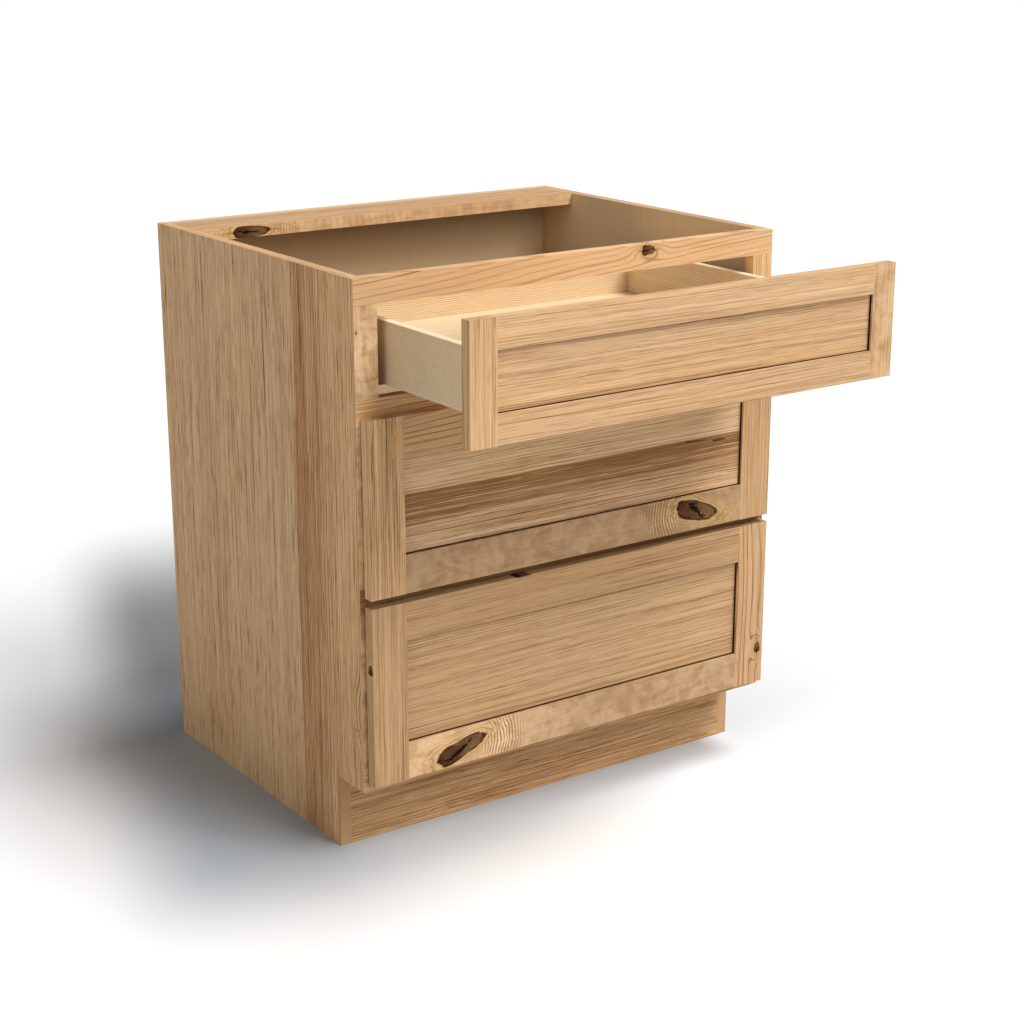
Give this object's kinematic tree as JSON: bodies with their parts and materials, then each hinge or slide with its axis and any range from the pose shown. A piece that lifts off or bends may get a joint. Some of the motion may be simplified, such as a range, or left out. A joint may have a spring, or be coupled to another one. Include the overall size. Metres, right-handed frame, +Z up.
{
  "type": "base cabinet with drawers",
  "caption": "Freestanding kitchen base cabinet in knotty wood with a face frame, toe kick, open top and stacked flat-panel drawers on concealed slides; the top drawer stands half open.",
  "frame": {"origin": "on the floor, in the plane of the wall behind, at the middle of the width", "axes": "+X to the right as seen from the room, +Y towards the wall, +Z up; the drawers open towards -Y"},
  "size_m": [0.762, 0.8849, 0.8763],
  "materials": {
    "frame_wood": "matt clear lacquer on knotty hickory",
    "front_wood": "matt clear lacquer on knotty hickory",
    "side_wood": "matt clear lacquer on hickory veneer",
    "toe_kick_wood": "matt clear lacquer on hickory",
    "interior_wood": "matt veneer",
    "cleat_wood": "planed",
    "box_wood": "matt clear lacquer on maple",
    "slide_steel": "zinc plated",
    "screw_steel": "zinc plated",
    "lock_plastic": "matt moulded",
    "bumper_rubber": "soft translucent"
  },
  "bodies": {
    "cabinet": {"side_panel_left": "side_wood", "side_panel_right": "side_wood", "back_panel": "interior_wood", "bottom_panel": "interior_wood", "toe_kick_board": "toe_kick_wood", "rear_stretcher": "frame_wood", "frame_stile_left": "frame_wood", "frame_stile_right": "frame_wood", "frame_top_rail": "frame_wood", "frame_upper_mid_rail": "frame_wood", "frame_lower_mid_rail": "frame_wood", "frame_bottom_rail": "frame_wood", "slide_cleats": "cleat_wood", "slide_fixed_rails": "slide_steel", "carcass_screws": "screw_steel"},
    "top_drawer": {"top_drawer_front_left_stile": "front_wood", "top_drawer_front_right_stile": "front_wood", "top_drawer_front_top_rail": "front_wood", "top_drawer_front_bottom_rail": "front_wood", "top_drawer_front_panel": "front_wood", "top_drawer_box_left_side": "box_wood", "top_drawer_box_right_side": "box_wood", "top_drawer_box_front": "box_wood", "top_drawer_box_back": "box_wood", "top_drawer_box_bottom": "box_wood", "top_drawer_slide_rails": "slide_steel", "top_drawer_locks": "lock_plastic", "top_drawer_screws": "screw_steel", "top_drawer_bumpers": "bumper_rubber"},
    "top_drawer_middle_rails": {"top_drawer_slide_middle_rails": "slide_steel"},
    "middle_drawer": {"middle_drawer_front_left_stile": "front_wood", "middle_drawer_front_right_stile": "front_wood", "middle_drawer_front_top_rail": "front_wood", "middle_drawer_front_bottom_rail": "front_wood", "middle_drawer_front_panel": "front_wood", "middle_drawer_box_left_side": "box_wood", "middle_drawer_box_right_side": "box_wood", "middle_drawer_box_front": "box_wood", "middle_drawer_box_back": "box_wood", "middle_drawer_box_bottom": "box_wood", "middle_drawer_slide_rails": "slide_steel", "middle_drawer_locks": "lock_plastic", "middle_drawer_screws": "screw_steel", "middle_drawer_bumpers": "bumper_rubber"},
    "middle_drawer_middle_rails": {"middle_drawer_slide_middle_rails": "slide_steel"},
    "bottom_drawer": {"bottom_drawer_front_left_stile": "front_wood", "bottom_drawer_front_right_stile": "front_wood", "bottom_drawer_front_top_rail": "front_wood", "bottom_drawer_front_bottom_rail": "front_wood", "bottom_drawer_front_panel": "front_wood", "bottom_drawer_box_left_side": "box_wood", "bottom_drawer_box_right_side": "box_wood", "bottom_drawer_box_front": "box_wood", "bottom_drawer_box_back": "box_wood", "bottom_drawer_box_bottom": "box_wood", "bottom_drawer_slide_rails": "slide_steel", "bottom_drawer_locks": "lock_plastic", "bottom_drawer_screws": "screw_steel", "bottom_drawer_bumpers": "bumper_rubber"},
    "bottom_drawer_middle_rails": {"bottom_drawer_slide_middle_rails": "slide_steel"}
  },
  "joints": [
    {"name": "top_drawer_slide", "type": "slide", "parent": "cabinet", "child": "top_drawer", "axis": [0, -1, 0], "range_m": [-0.2551, 0.2449]},
    {"name": "top_drawer_middle_rail_slide", "type": "slide", "parent": "cabinet", "child": "top_drawer_middle_rails", "axis": [0, -1, 0], "range_m": [-0.12755, 0.12245]},
    {"name": "middle_drawer_slide", "type": "slide", "parent": "cabinet", "child": "middle_drawer", "axis": [0, -1, 0], "range_m": [0, 0.5]},
    {"name": "middle_drawer_middle_rail_slide", "type": "slide", "parent": "cabinet", "child": "middle_drawer_middle_rails", "axis": [0, -1, 0], "range_m": [0, 0.25]},
    {"name": "bottom_drawer_slide", "type": "slide", "parent": "cabinet", "child": "bottom_drawer", "axis": [0, -1, 0], "range_m": [0, 0.5]},
    {"name": "bottom_drawer_middle_rail_slide", "type": "slide", "parent": "cabinet", "child": "bottom_drawer_middle_rails", "axis": [0, -1, 0], "range_m": [0, 0.25]}
  ],
  "couplings": [
    {"joint": "top_drawer_middle_rail_slide", "follows": "top_drawer_slide", "ratio": 0.5},
    {"joint": "middle_drawer_middle_rail_slide", "follows": "middle_drawer_slide", "ratio": 0.5},
    {"joint": "bottom_drawer_middle_rail_slide", "follows": "bottom_drawer_slide", "ratio": 0.5}
  ]
}
